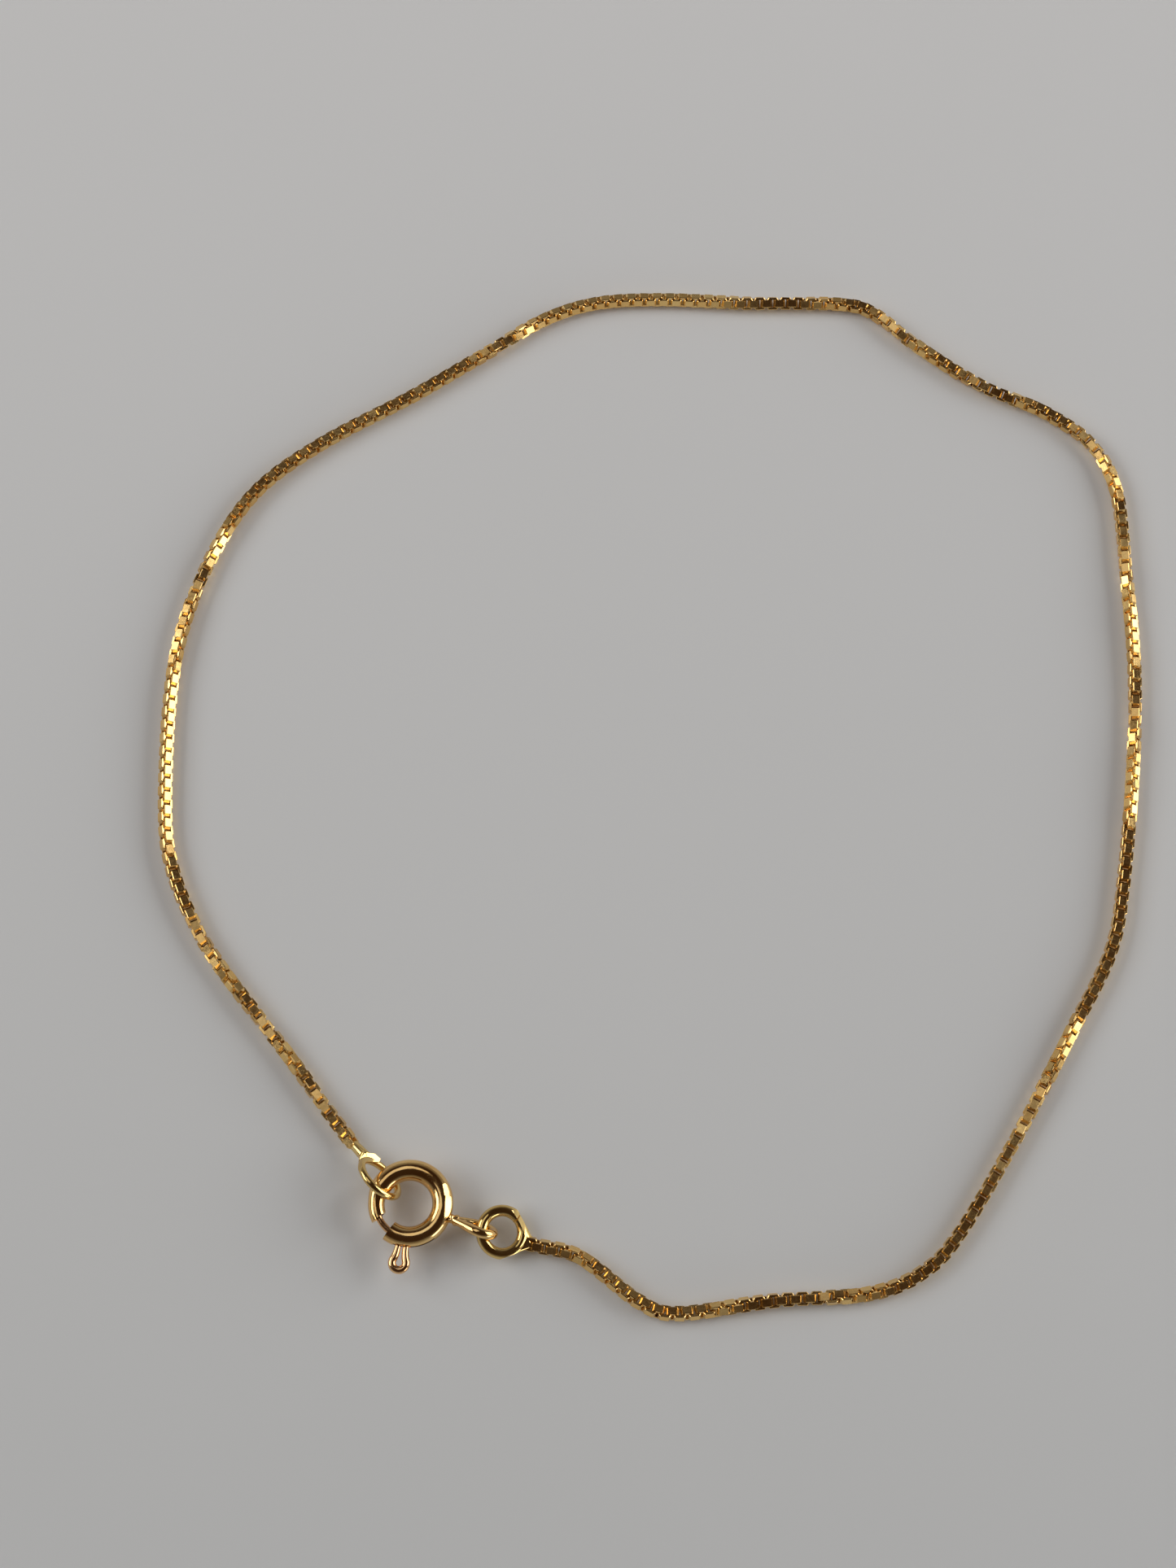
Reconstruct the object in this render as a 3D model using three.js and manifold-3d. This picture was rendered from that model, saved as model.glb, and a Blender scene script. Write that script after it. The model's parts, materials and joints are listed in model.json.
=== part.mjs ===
// A gold box chain anklet, fastened by its spring ring and lying on a flat surface.
// Millimetres, Z up. The origin is on the surface, under the middle of the loop.

import * as THREE from 'three';
import { mergeVertices } from 'three/addons/utils/BufferGeometryUtils.js';
import Module from 'manifold-3d';

// Box chain: links of folded strip, each turned a quarter from the one before it
const CHAIN_WIDTH = 0.92;
const STRIP_WIDTH = 0.56;
const CHAIN_STEPS = 80;

// The chain's middle line on the surface, clockwise from the catch ring to the jump ring
const LAID_ROUTE = [
  [-20.2, -27.4], [-23.0, -24.4], [-28.5, -18.9], [-31.2, -15.5], [-33.2, -11.9],
  [-34.3, -8.0], [-35.3, 0.0], [-35.3, 6.0], [-34.0, 12.2], [-31.6, 17.6],
  [-27.3, 22.1], [-21.0, 26.9], [-16.2, 30.9], [-11.9, 34.5], [-8.0, 36.5],
  [-3.0, 37.5], [3.9, 38.1], [10.8, 38.9], [13.6, 38.5], [17.2, 36.1],
  [22.5, 33.3], [27.5, 31.7], [31.2, 29.4], [33.3, 25.7], [34.3, 19.3],
  [35.3, 11.3], [35.5, 4.0], [35.2, -4.9], [34.5, -10.2], [32.0, -16.3],
  [28.6, -24.1], [25.0, -31.3], [22.6, -34.3], [19.0, -36.2], [12.5, -37.4],
  [6.1, -39.0], [3.3, -38.5], [-1.0, -36.0],
];

// Solder neck between the catch ring and the chain
const JOINT_GAP = 0.25;
const NECK_TIP = 0.6;
const NECK_ROOT = 0.84;
const NECK_LENGTH = 1.5;
const NECK_HEADING = 140;
const NECK_DIP = 22;

// Spring ring: the hollow tube, its mouth and where it lies
const CLASP_PLACE = [-13.05, -33.82];
const CLASP_DIAMETER = 6.0;
const TUBE_DIAMETER = 1.45;
const MOUTH_DIAMETER = 1.14;
const NARROW_FROM = 150;
const NARROW_TO = 185;
const MOUTH_FROM = 211;
const MOUTH_TO = 240;
const REST_GAP = 0.28;

// Bolt and thumb lever, bent from one wire
const BOLT_DIAMETER = 0.46;
const BORE_CLEARANCE = 0.18;
const BOLT_ENTRY = 4;
const BOLT_TAIL = 18;
const LEVER_ANGLE = 267.3;
const LEVER_WIRE = 0.44;
const LEVER_WIDTH = 1.52;
const LEVER_REACH = 1.8;
const LEVER_MOUTH = 0.46;
const SLOT_CLEARANCE = 0.1;

// Neck bead and eyelet
const EYELET_ANGLE = -13;
const EYELET_WIRE = 0.62;
const EYELET_HEIGHT = 2.5;
const EYELET_LENGTH = 3.4;
const EYELET_LEAN = 19;
const EYELET_MOUTH = 0.2;
const NECK_BEAD = 0.74;
const NECK_STAND = 0.26;

// The neck's depth in the tube's wall, and its outline as [along, radius], in shares of its length and bead
const NECK_SINK = 0.7;
const NECK_PROFILE = [[0.0, 0.6], [0.35, 0.4], [0.6, 0.46], [1.0, 0.5], [1.5, 0.42], [1.8, 0.3]];

// Catch ring, through which the spring ring is hooked
const CATCH_WIRE = 0.52;
const CATCH_PLAY = 1.26;
const CATCH_ANGLE = 147.5;
const CATCH_SHIFT = 0.4;
const CATCH_HEADING = 130;
const CATCH_DIP = 17;
const CATCH_LEAN = 28;

// Jump ring, which runs through the eyelet
const JUMP_WIRE = 0.7;
const JUMP_DIAMETER = 3.62;
const JUMP_SLACK = 0.17;
const JUMP_SWING = 14.5;
const JUMP_PASS_GAP = 0.14;
const JUMP_WEB_TURN = -14.5;
const SLIT_WIDTH = 0.12;
const SLIT_ANGLE = 65;

// Solder webs, filed flat on both flanks
const WEB_THICKNESS = 0.5;
const WEB_TIP = 0.5;
const FLANK_ANGLE = 49.5;
const FILE_DEPTH = 0.14;

// How finely the round shapes are faceted
const TUBE_SIDES = 16;
const BORE_SIDES = 10;
const WIRE_SIDES = 12;
const RING_STEPS = 36;
const TUBE_STEPS = 44;
const BOLT_STEPS = 12;
const HAIRPIN_STEPS = 26;

const GOLD = { color: 0xd0a04c, roughness: 0.24, metalness: 1 };
const ROSE_GOLD = { color: 0xcf9355, roughness: 0.24, metalness: 1 };
const SOLDER = { color: 0xccb057, roughness: 0.3, metalness: 1 };

const UP = new THREE.Vector3(0, 0, 1);
const radians = THREE.MathUtils.degToRad;

const wasm = await Module();
wasm.setup();

// A closed geometry as a solid that can be joined and cut
function solidOf(geometry) {
  const bare = geometry.clone();
  bare.deleteAttribute('normal');
  bare.deleteAttribute('uv');
  const merged = mergeVertices(bare, 1e-5);
  const mesh = new wasm.Mesh({
    numProp: 3,
    vertProperties: new Float32Array(merged.attributes.position.array),
    triVerts: new Uint32Array(merged.index.array),
  });
  return new wasm.Manifold(mesh);
}

function geometryOf(solid) {
  const mesh = solid.getMesh();
  const geometry = new THREE.BufferGeometry();
  geometry.setAttribute('position', new THREE.BufferAttribute(mesh.vertProperties, mesh.numProp));
  geometry.setIndex(new THREE.BufferAttribute(mesh.triVerts, 1));
  geometry.computeVertexNormals();
  return geometry;
}

function piece(name, geometry, finish) {
  const mesh = new THREE.Mesh(geometry, new THREE.MeshStandardMaterial(finish));
  mesh.name = name;
  return mesh;
}

// Section directions along a route: X of the section to the left of travel, Y upwards
function levelFrames(route, segments) {
  const frames = { tangents: [], normals: [], binormals: [] };
  for (let i = 0; i <= segments; i += 1) {
    const tangent = route.getTangentAt(i / segments);
    const left = new THREE.Vector3().crossVectors(UP, tangent).normalize();
    frames.tangents.push(tangent);
    frames.normals.push(left);
    frames.binormals.push(new THREE.Vector3().crossVectors(tangent, left));
  }
  return frames;
}

// The laid chain, lifted at its start where the catch ring's solder holds it off the surface
class ChainRoute extends THREE.CatmullRomCurve3 {
  constructor(points, lift) {
    super(points, false, 'catmullrom', 0.5);
    this.lift = lift;
  }

  getPoint(t, target = new THREE.Vector3()) {
    const point = super.getPoint(t, target);
    const left = Math.max(0, 1 - t * (this.points.length - 1));
    point.z += this.lift * left * left;
    return point;
  }

  computeFrenetFrames(segments) {
    return levelFrames(this, segments);
  }
}

// A flat outline as a route in the XY plane
class FlatRoute extends THREE.Curve {
  constructor(outline) {
    super();
    this.outline = outline;
  }

  getPoint(t, target = new THREE.Vector3()) {
    const point = this.outline.getPoint(t);
    return target.set(point.x, point.y, 0);
  }

  computeFrenetFrames(segments) {
    return levelFrames(this, segments);
  }
}

function arcRoute(radius, from, to) {
  const outline = new THREE.Path();
  outline.absarc(0, 0, radius, radians(from), radians(to), false);
  return new FlatRoute(outline);
}

// A wire's route out along +X, round an end bend and back, with its two ends a mouth apart
function hairpinRoute(reach, bendRadius, mouth) {
  const centre = reach - bendRadius;
  const fromBend = Math.atan2(mouth / 2, -centre);
  const touch = fromBend - Math.acos(bendRadius / Math.hypot(centre, mouth / 2));
  const outline = new THREE.Path();
  outline.moveTo(0, mouth / 2);
  outline.lineTo(centre + bendRadius * Math.cos(touch), bendRadius * Math.sin(touch));
  outline.absarc(centre, 0, bendRadius, touch, -touch, true);
  outline.lineTo(0, -mouth / 2);
  return new FlatRoute(outline);
}

function roundPoints(diameter, sides) {
  const points = [];
  for (let i = 0; i < sides; i += 1) {
    const angle = (2 * Math.PI * (i + 0.5)) / sides;
    points.push(new THREE.Vector2(Math.cos(angle), Math.sin(angle)).multiplyScalar(diameter / 2));
  }
  return points;
}

function sweep(section, route, steps) {
  return new THREE.ExtrudeGeometry(section, { steps, extrudePath: route });
}

function wireSweep(diameter, route, steps) {
  return sweep(new THREE.Shape(roundPoints(diameter, WIRE_SIDES)), route, steps);
}

// A round wire ring in the XY plane
function wireRing(centreRadius, wire) {
  const profile = roundPoints(wire, WIRE_SIDES).map((p) => new THREE.Vector2(centreRadius + p.x, p.y));
  profile.push(profile[0].clone());
  return solidOf(new THREE.LatheGeometry(profile, RING_STEPS).rotateX(Math.PI / 2));
}

// A solder ring: the wire ring with its wedge of solder towards +X, both flanks filed flat
function solderedRing(diameter, wire) {
  const centreRadius = (diameter - wire) / 2;
  const flank = radians(FLANK_ANGLE);
  const filed = diameter / 2 - Math.min(FILE_DEPTH, wire / 2);
  const reach = (filed - (WEB_TIP / 2) * Math.sin(flank)) / Math.cos(flank);
  const web = new THREE.Shape();
  web.moveTo(reach, -WEB_TIP / 2);
  web.lineTo(reach, WEB_TIP / 2);
  web.lineTo(filed * Math.cos(flank), filed * Math.sin(flank));
  web.absarc(0, 0, centreRadius, flank, -flank, true);
  web.lineTo(filed * Math.cos(flank), -filed * Math.sin(flank));
  web.closePath();
  const wedge = new THREE.ExtrudeGeometry(web, { depth: WEB_THICKNESS, bevelEnabled: false });
  let ring = wireRing(centreRadius, wire);
  for (const side of [flank, -flank]) {
    const waste = new THREE.BoxGeometry(wire, diameter, 2 * wire);
    waste.translate(filed + wire / 2, 0, 0).rotateZ(side);
    ring = ring.subtract(solidOf(waste));
  }
  return { solid: ring.add(solidOf(wedge.translate(0, 0, -WEB_THICKNESS / 2))), centreRadius, reach };
}

// Sizes worked out for the clasp
const tubeRadius = (CLASP_DIAMETER - TUBE_DIAMETER) / 2;
const boreDiameter = BOLT_DIAMETER + 2 * BORE_CLEARANCE;
const tubeWall = (TUBE_DIAMETER - boreDiameter) / 2;
const claspHeight = CATCH_WIRE + REST_GAP + TUBE_DIAMETER / 2;
const leverBend = (LEVER_WIDTH - LEVER_WIRE) / 2;
const leverRoute = TUBE_DIAMETER / 2 + LEVER_REACH - LEVER_WIRE / 2;
const boltTravel = MOUTH_TO - MOUTH_FROM + BOLT_ENTRY;
const eyeletBend = (EYELET_HEIGHT - EYELET_WIRE) / 2;

// The slot along the tube's outer side, as long as the lever's width and its travel
function leverSlot() {
  const legSpread = (leverBend - LEVER_MOUTH / 2) * (TUBE_DIAMETER / 2 / (leverRoute - leverBend));
  const half = LEVER_MOUTH / 2 + legSpread + LEVER_WIRE / 2 + SLOT_CLEARANCE;
  const halfAngle = THREE.MathUtils.radToDeg(Math.atan2(half, CLASP_DIAMETER / 2));
  const height = LEVER_WIRE / 2 + SLOT_CLEARANCE;
  const section = new THREE.Shape();
  section.moveTo(0, -height);
  section.lineTo(0, height);
  section.lineTo(-TUBE_DIAMETER, height);
  section.lineTo(-TUBE_DIAMETER, -height);
  section.closePath();
  const route = arcRoute(tubeRadius, LEVER_ANGLE - halfAngle, LEVER_ANGLE + halfAngle + boltTravel);
  return solidOf(sweep(section, route, BOLT_STEPS));
}

// A flare on the tube, a waist and a bead
function neck() {
  const sunk = NECK_SINK * tubeWall;
  const base = CLASP_DIAMETER / 2 - sunk;
  const length = NECK_STAND + sunk;
  const profile = NECK_PROFILE.map(([along, radius]) => new THREE.Vector2(radius * NECK_BEAD, along * length));
  profile.unshift(new THREE.Vector2(0, profile[0].y));
  profile.push(new THREE.Vector2(0, profile[profile.length - 1].y));
  const bead = new THREE.LatheGeometry(profile, WIRE_SIDES).rotateZ(-Math.PI / 2);
  return solidOf(bead.translate(base, 0, 0).rotateZ(radians(EYELET_ANGLE)));
}

function eyelet() {
  const reach = EYELET_LENGTH - NECK_STAND - EYELET_WIRE / 2;
  const loop = wireSweep(EYELET_WIRE, hairpinRoute(reach, eyeletBend, EYELET_MOUTH), HAIRPIN_STEPS);
  loop.rotateX(radians(90 + EYELET_LEAN));
  loop.translate(CLASP_DIAMETER / 2 + NECK_STAND, 0, 0).rotateZ(radians(EYELET_ANGLE));
  return solidOf(loop);
}

// The tube's outer skin, drawn down towards the mouth that the bolt closes into
function drawnDown(tube) {
  const place = tube.attributes.position;
  const skin = (TUBE_DIAMETER + boreDiameter) / 4;
  for (let i = 0; i < place.count; i += 1) {
    const angle = (THREE.MathUtils.radToDeg(Math.atan2(place.getY(i), place.getX(i))) + 360) % 360;
    const spread = Math.hypot(place.getX(i), place.getY(i)) - tubeRadius;
    const inNarrow = angle > NARROW_FROM && angle < (MOUTH_FROM + MOUTH_TO) / 2;
    if (inNarrow && Math.hypot(spread, place.getZ(i)) > skin) {
      const share = THREE.MathUtils.smoothstep(angle, NARROW_FROM, NARROW_TO);
      const scale = THREE.MathUtils.lerp(1, MOUTH_DIAMETER / TUBE_DIAMETER, share);
      const reach = (tubeRadius + spread * scale) / (tubeRadius + spread);
      place.setXYZ(i, place.getX(i) * reach, place.getY(i) * reach, place.getZ(i) * scale);
    }
  }
  return tube;
}

function claspBody() {
  const section = new THREE.Shape(roundPoints(TUBE_DIAMETER, TUBE_SIDES));
  section.holes.push(new THREE.Path(roundPoints(boreDiameter, BORE_SIDES)));
  const tube = sweep(section, arcRoute(tubeRadius, MOUTH_TO, MOUTH_FROM + 360), TUBE_STEPS);
  return solidOf(drawnDown(tube)).subtract(leverSlot()).add(neck()).add(eyelet());
}

function claspBolt() {
  const route = arcRoute(tubeRadius, MOUTH_FROM - BOLT_ENTRY, LEVER_ANGLE + BOLT_TAIL);
  const bolt = solidOf(wireSweep(BOLT_DIAMETER, route, BOLT_STEPS));
  const lever = wireSweep(LEVER_WIRE, hairpinRoute(leverRoute, leverBend, LEVER_MOUTH), HAIRPIN_STEPS);
  lever.translate(tubeRadius, 0, 0).rotateZ(radians(LEVER_ANGLE));
  return bolt.add(solidOf(lever));
}

// The spring ring lies flat, its tube just clear of the catch ring's wire below it
const clasp = new THREE.Group();
clasp.position.set(...CLASP_PLACE, claspHeight);
clasp.add(piece('clasp_body', geometryOf(claspBody()), GOLD));
clasp.add(piece('clasp_bolt', geometryOf(claspBolt()), ROSE_GOLD));

// The catch ring leans round the tube, with its lowest point on the surface
const catchDiameter = TUBE_DIAMETER + CATCH_PLAY + 2 * CATCH_WIRE;
const catchRing = solderedRing(catchDiameter, CATCH_WIRE);

const catchSlope = Math.hypot(
  Math.sin(radians(CATCH_DIP)),
  Math.cos(radians(CATCH_DIP)) * Math.cos(radians(CATCH_LEAN)),
);
const catchGroup = new THREE.Group();
catchGroup.position.set(
  CLASP_PLACE[0] + (tubeRadius + CATCH_SHIFT) * Math.cos(radians(CATCH_ANGLE)),
  CLASP_PLACE[1] + (tubeRadius + CATCH_SHIFT) * Math.sin(radians(CATCH_ANGLE)),
  catchRing.centreRadius * catchSlope + CATCH_WIRE / 2,
);
catchGroup.rotation.set(radians(90 - CATCH_LEAN), radians(CATCH_DIP), radians(CATCH_HEADING), 'ZYX');
catchGroup.updateMatrix();

// The solder neck leaves the web on the chain's own heading, down towards the surface
const neckHeading = new THREE.Vector3(1, 0, 0)
  .applyEuler(new THREE.Euler(0, radians(NECK_DIP), radians(NECK_HEADING), 'ZYX'))
  .applyQuaternion(catchGroup.quaternion.clone().invert());
const neckRoot = new THREE.Vector3(catchRing.reach - WEB_TIP, 0, 0);

function solderNeck() {
  const bar = new THREE.CylinderGeometry(NECK_TIP / 2, NECK_ROOT / 2, NECK_LENGTH, WIRE_SIDES);
  bar.translate(0, NECK_LENGTH / 2, 0);
  bar.applyQuaternion(new THREE.Quaternion().setFromUnitVectors(new THREE.Vector3(0, 1, 0), neckHeading));
  return solidOf(bar.translate(neckRoot.x, neckRoot.y, neckRoot.z));
}

catchGroup.add(piece('catch_ring', geometryOf(catchRing.solid.add(solderNeck())), SOLDER));

// The jump ring passes over the eyelet's lower wire and slopes down to the chain
const jumpRing = solderedRing(JUMP_DIAMETER, JUMP_WIRE);

function slit() {
  const cut = new THREE.BoxGeometry(JUMP_DIAMETER, SLIT_WIDTH, 2 * JUMP_WIRE);
  return solidOf(cut.translate(JUMP_DIAMETER / 2, 0, 0).rotateZ(radians(SLIT_ANGLE)));
}

const eyeletLow = claspHeight - eyeletBend * Math.cos(radians(EYELET_LEAN));
const passHeight = eyeletLow + (EYELET_WIRE + JUMP_WIRE) / 2 + JUMP_PASS_GAP;
const passReach = CLASP_DIAMETER / 2 + EYELET_LENGTH - EYELET_WIRE - JUMP_SLACK - JUMP_WIRE / 2;
const tipForward = jumpRing.reach * Math.cos(radians(JUMP_WEB_TURN));
const jumpSlope = Math.asin((passHeight - CHAIN_WIDTH / 2) / (jumpRing.centreRadius + tipForward));
const jumpHeading = radians(EYELET_ANGLE + JUMP_SWING);
const jumpRun = jumpRing.centreRadius * Math.cos(jumpSlope);
const jumpGroup = new THREE.Group();
const jumpGeometry = geometryOf(jumpRing.solid.subtract(slit()));
jumpGroup.add(piece('jump_ring', jumpGeometry.rotateZ(radians(JUMP_WEB_TURN)), SOLDER));
jumpGroup.position.set(
  CLASP_PLACE[0] + passReach * Math.cos(radians(EYELET_ANGLE)) + jumpRun * Math.cos(jumpHeading),
  CLASP_PLACE[1] + passReach * Math.sin(radians(EYELET_ANGLE)) + jumpRun * Math.sin(jumpHeading),
  passHeight - jumpRing.centreRadius * Math.sin(jumpSlope),
);
jumpGroup.rotation.set(0, jumpSlope, jumpHeading, 'ZYX');
jumpGroup.updateMatrix();

// The chain's envelope: flats where the links' plates lie, slopes between the two sets of plates
function chainSection() {
  const flat = CHAIN_WIDTH / 2;
  const edge = STRIP_WIDTH / 2;
  const section = new THREE.Shape();
  section.moveTo(flat, edge);
  section.lineTo(edge, flat);
  section.lineTo(-edge, flat);
  section.lineTo(-flat, edge);
  section.lineTo(-flat, -edge);
  section.lineTo(-edge, -flat);
  section.lineTo(edge, -flat);
  section.lineTo(flat, -edge);
  section.closePath();
  return section;
}

// The chain's ends, just beyond the solder that holds them
const chainStart = neckRoot.clone().addScaledVector(neckHeading, NECK_LENGTH + JOINT_GAP);
chainStart.applyMatrix4(catchGroup.matrix);
const webTurn = radians(JUMP_WEB_TURN);
const chainEnd = new THREE.Vector3(jumpRing.reach + JOINT_GAP, 0, 0).applyAxisAngle(UP, webTurn);
chainEnd.applyMatrix4(jumpGroup.matrix);
const chainLift = chainStart.z - CHAIN_WIDTH / 2;
const laid = [[chainStart.x, chainStart.y], ...LAID_ROUTE, [chainEnd.x, chainEnd.y]];
const chainPoints = laid.map(([x, y]) => new THREE.Vector3(x, y, CHAIN_WIDTH / 2));
const chainRoute = new ChainRoute(chainPoints, chainLift);
const chain = piece('box_chain', sweep(chainSection(), chainRoute, CHAIN_STEPS), GOLD);

const anklet = new THREE.Group();
anklet.add(chain, catchGroup, clasp, jumpGroup);

export default anklet;
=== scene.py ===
import json
import random
from math import acos, asin, atan2, cos, hypot, pi, radians, sin, tan

import bmesh
import bpy
from mathutils import Euler, Matrix, Vector
from mathutils.geometry import interpolate_bezier


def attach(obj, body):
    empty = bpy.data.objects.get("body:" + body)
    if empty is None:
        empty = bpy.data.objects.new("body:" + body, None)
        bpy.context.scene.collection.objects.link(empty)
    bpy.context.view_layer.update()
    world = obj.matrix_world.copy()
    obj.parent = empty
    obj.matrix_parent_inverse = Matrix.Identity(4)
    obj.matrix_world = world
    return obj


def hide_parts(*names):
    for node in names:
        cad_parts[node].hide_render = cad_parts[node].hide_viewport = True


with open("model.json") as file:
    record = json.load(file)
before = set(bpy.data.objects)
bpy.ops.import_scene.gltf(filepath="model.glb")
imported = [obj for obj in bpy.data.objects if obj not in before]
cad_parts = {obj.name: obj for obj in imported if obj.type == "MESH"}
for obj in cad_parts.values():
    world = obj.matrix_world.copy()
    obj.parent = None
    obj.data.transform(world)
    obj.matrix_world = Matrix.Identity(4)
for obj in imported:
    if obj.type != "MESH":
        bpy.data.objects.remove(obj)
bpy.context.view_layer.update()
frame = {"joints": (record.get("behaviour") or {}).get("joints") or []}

# A gold box chain anklet, fastened by its spring ring and lying on a pale table.
# Pieces are worked in millimetres and brought to metres when they are placed. Angles are in degrees.
MM = 0.001
FULL_TURN = 360
SEED = 41

# Points closer than the weld are one, edges past the corner are rounded, edges past the crease look sharp
WELD = 0.0001
SHARP_CORNER = 60
CREASE = 34

# Camera: where it stood over the table, and its lean and turn
CAMERA_PLACE = Vector((-4.22, -50.12, 160.95))
CAMERA_LEAN = 16.62
CAMERA_TURN = 6.62
SENSOR = 36.0
LENS = 52.73
CLIP_NEAR = 0.005

# Table top, whose colour carries painted shade: it darkens from far to near over the reach
FLOOR_SIZE = 30.0
TABLE_SHADE_REACH = 0.07
TABLE_CLOUDING = 0.02
TABLE_ROUGHNESS = 0.6

# Windows and ceiling, a metre away and facing the anklet: bearing, rise, width, height, strength, colour
PANEL_REACH = 1.0
PANELS = {
    "window_right": (15, 20, 46, 38, 3.3, (1.0, 1.0, 0.99)),
    "window_left": (176, 32, 44, 26, 3.3, (1.0, 0.99, 0.97)),
    "window_low": (-36, 9, 24, 14, 3.0, (1.0, 1.0, 0.99)),
    "ceiling": (140, 68, 44, 26, 0.75, (1.0, 1.0, 1.0)),
}

# The room's own light, mid grey at the horizon and dim and warm from this share of the height upwards
ROOM_HORIZON = (0.34, 0.335, 0.325, 1)
ROOM_OVERHEAD = (0.035, 0.02, 0.012, 1)
ROOM_DIM_FROM = 0.6

# Box chain: each link is a strip folded into a box, a quarter turned from the one before it
LINK_LENGTH = 0.9
LINK_WIDTH = 0.92
STRIP_WIDTH = 0.56
STRIP_THICKNESS = 0.175
LINK_PITCH = 0.5

# A link's folded corners, across it and along it, and its eased rims
LINK_CORNER = 0.2
LINK_CORNER_RUN = 0.14
LINK_RIM = 0.035

# How far a link may tip, the room left under it for that, and how deep the chain's ends are soldered in
LINK_PLAY = 2.4
PLAY_ROOM = 0.02
LINKS_IN_NECK = 0.22
LINKS_IN_WEB = 0.62

# The chain's middle line on the table, clockwise from the catch ring to the jump ring
LAID_ROUTE = [
    (-20.2, -27.4), (-23.0, -24.4), (-28.5, -18.9), (-31.2, -15.5), (-33.2, -11.9),
    (-34.3, -8.0), (-35.3, 0.0), (-35.3, 6.0), (-34.0, 12.2), (-31.6, 17.6),
    (-27.3, 22.1), (-21.0, 26.9), (-16.2, 30.9), (-11.9, 34.5), (-8.0, 36.5),
    (-3.0, 37.5), (3.9, 38.1), (10.8, 38.9), (13.6, 38.5), (17.2, 36.1),
    (22.5, 33.3), (27.5, 31.7), (31.2, 29.4), (33.3, 25.7), (34.3, 19.3),
    (35.3, 11.3), (35.5, 4.0), (35.2, -4.9), (34.5, -10.2), (32.0, -16.3),
    (28.6, -24.1), (25.0, -31.3), (22.6, -34.3), (19.0, -36.2), (12.5, -37.4),
    (6.1, -39.0), (3.3, -38.5), (-1.0, -36.0),
]
ROUTE_STEPS = 24

# How the laid chain is twisted, as (millimetres along it, turn as the camera sees it)
TWIST = [
    (0, -20), (3, 0), (5, 25), (8, 60), (10, 95), (12, 118), (14, 135), (15, 154),
    (18, 180), (20, 202), (23, 210), (26, 219), (38, 218), (41, 250), (44, 250), (47, 292),
    (50, 310), (52, 338), (73, 336), (76, 350), (78, 390), (81, 412), (93, 410), (97, 386),
    (100, 371), (103, 400), (105, 422), (107, 434), (110, 467), (111, 495), (114, 518), (116, 538),
    (119, 554), (120, 575), (121, 598), (125, 620), (128, 655), (130, 690), (133, 718), (137, 728),
    (139, 762), (142, 784), (145, 794), (148, 810), (150, 832), (152, 861), (156, 865), (158, 898),
    (172, 900), (174, 878), (177, 860), (179, 826), (188, 820), (194, 812), (199, 786), (200, 770),
    (202, 736), (205, 722), (208, 701), (210, 673), (218, 671), (220, 699), (223, 716),
]

# Solder neck between the catch ring and the chain, with both its ends fuller by the swell
JOINT_GAP = 0.25
NECK_TIP = 0.56
NECK_ROOT = 0.7
NECK_LENGTH = 1.5
NECK_ROUND = 0.16
NECK_SWELL = 0.14
NECK_HEADING = 140
NECK_DIP = 22

# Spring ring: the hollow tube, which narrows towards its mouth, on bearings round its own axis
CLASP_DIAMETER = 6.0
TUBE_DIAMETER = 1.45
MOUTH_DIAMETER = 1.14
NARROW_FROM = 150
NARROW_TO = 185
MOUTH_FROM = 211
MOUTH_TO = 240
MOUTH_SLANT = 14
BORE_OVERRUN = 8
TUBE_STEPS = 132
TUBE_SIDES = 40

# Flats filed on the tube beside the neck, as (bearing, rise, depth)
TUBE_FLATS = [(21, 54, 0.05), (4, 57, 0.075)]

# Bolt and thumb lever, bent from one wire
BOLT_DIAMETER = 0.46
BORE_CLEARANCE = 0.18
BOLT_ENTRY = 4
BOLT_TAIL = 18
BOLT_ROUND = 0.07
BOLT_STEPS = 40
LEVER_ANGLE = 267.3
LEVER_WIRE = 0.44
LEVER_ROOT = 0.38
LEVER_HEAD = 0.56
LEVER_WIDTH = 1.52
LEVER_REACH = 1.8
LEVER_MOUTH = 0.5
LEVER_CURL = 117
SLOT_CLEARANCE = 0.1
SLOT_STEPS = 24

# How finely a bent wire's legs and bend are drawn
LEG_STEPS = 8
BEND_STEPS = 36

# Neck bead and eyelet
EYELET_ANGLE = -13
EYELET_WIRE = 0.62
EYELET_ROOT = 0.5
EYELET_SWELL = 0.06
EYELET_HEIGHT = 2.5
EYELET_LENGTH = 3.4
EYELET_LEAN = 19
EYELET_MOUTH = 0.2
NECK_BEAD = 0.74
NECK_STAND = 0.26
NECK_SINK = 0.22

# The bead's outline as (along, radius), in shares of its length and bead: flare, collar, waist, bead
NECK_OUTLINE = [
    (0.0, 0.62), (0.26, 0.46), (0.4, 0.4), (0.5, 0.43), (0.6, 0.45), (0.7, 0.42), (0.78, 0.38),
    (0.88, 0.42), (1.0, 0.49), (1.15, 0.53), (1.32, 0.54), (1.48, 0.51), (1.62, 0.44), (1.7, 0.36),
]

# Catch ring, through which the spring ring is hooked, and how it hangs on the tube
CATCH_WIRE = 0.52
CATCH_PLAY = 1.26
CATCH_ANGLE = 147.5
CATCH_SHIFT = 0.4
CATCH_HEADING = 130
CATCH_DIP = 17
CATCH_LEAN = 28

# Jump ring, which runs through the eyelet, and its open slit
JUMP_WIRE = 0.7
JUMP_SWELL = 0.1
JUMP_DIAMETER = 3.62
JUMP_SLACK = 0.17
JUMP_SWING = 14.5
JUMP_PASS_GAP = 0.14
JUMP_WEB_TURN = -14.5
SLIT_WIDTH = 0.09
SLIT_LEAN = 15
SLIT_ANGLE = 65

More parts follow.
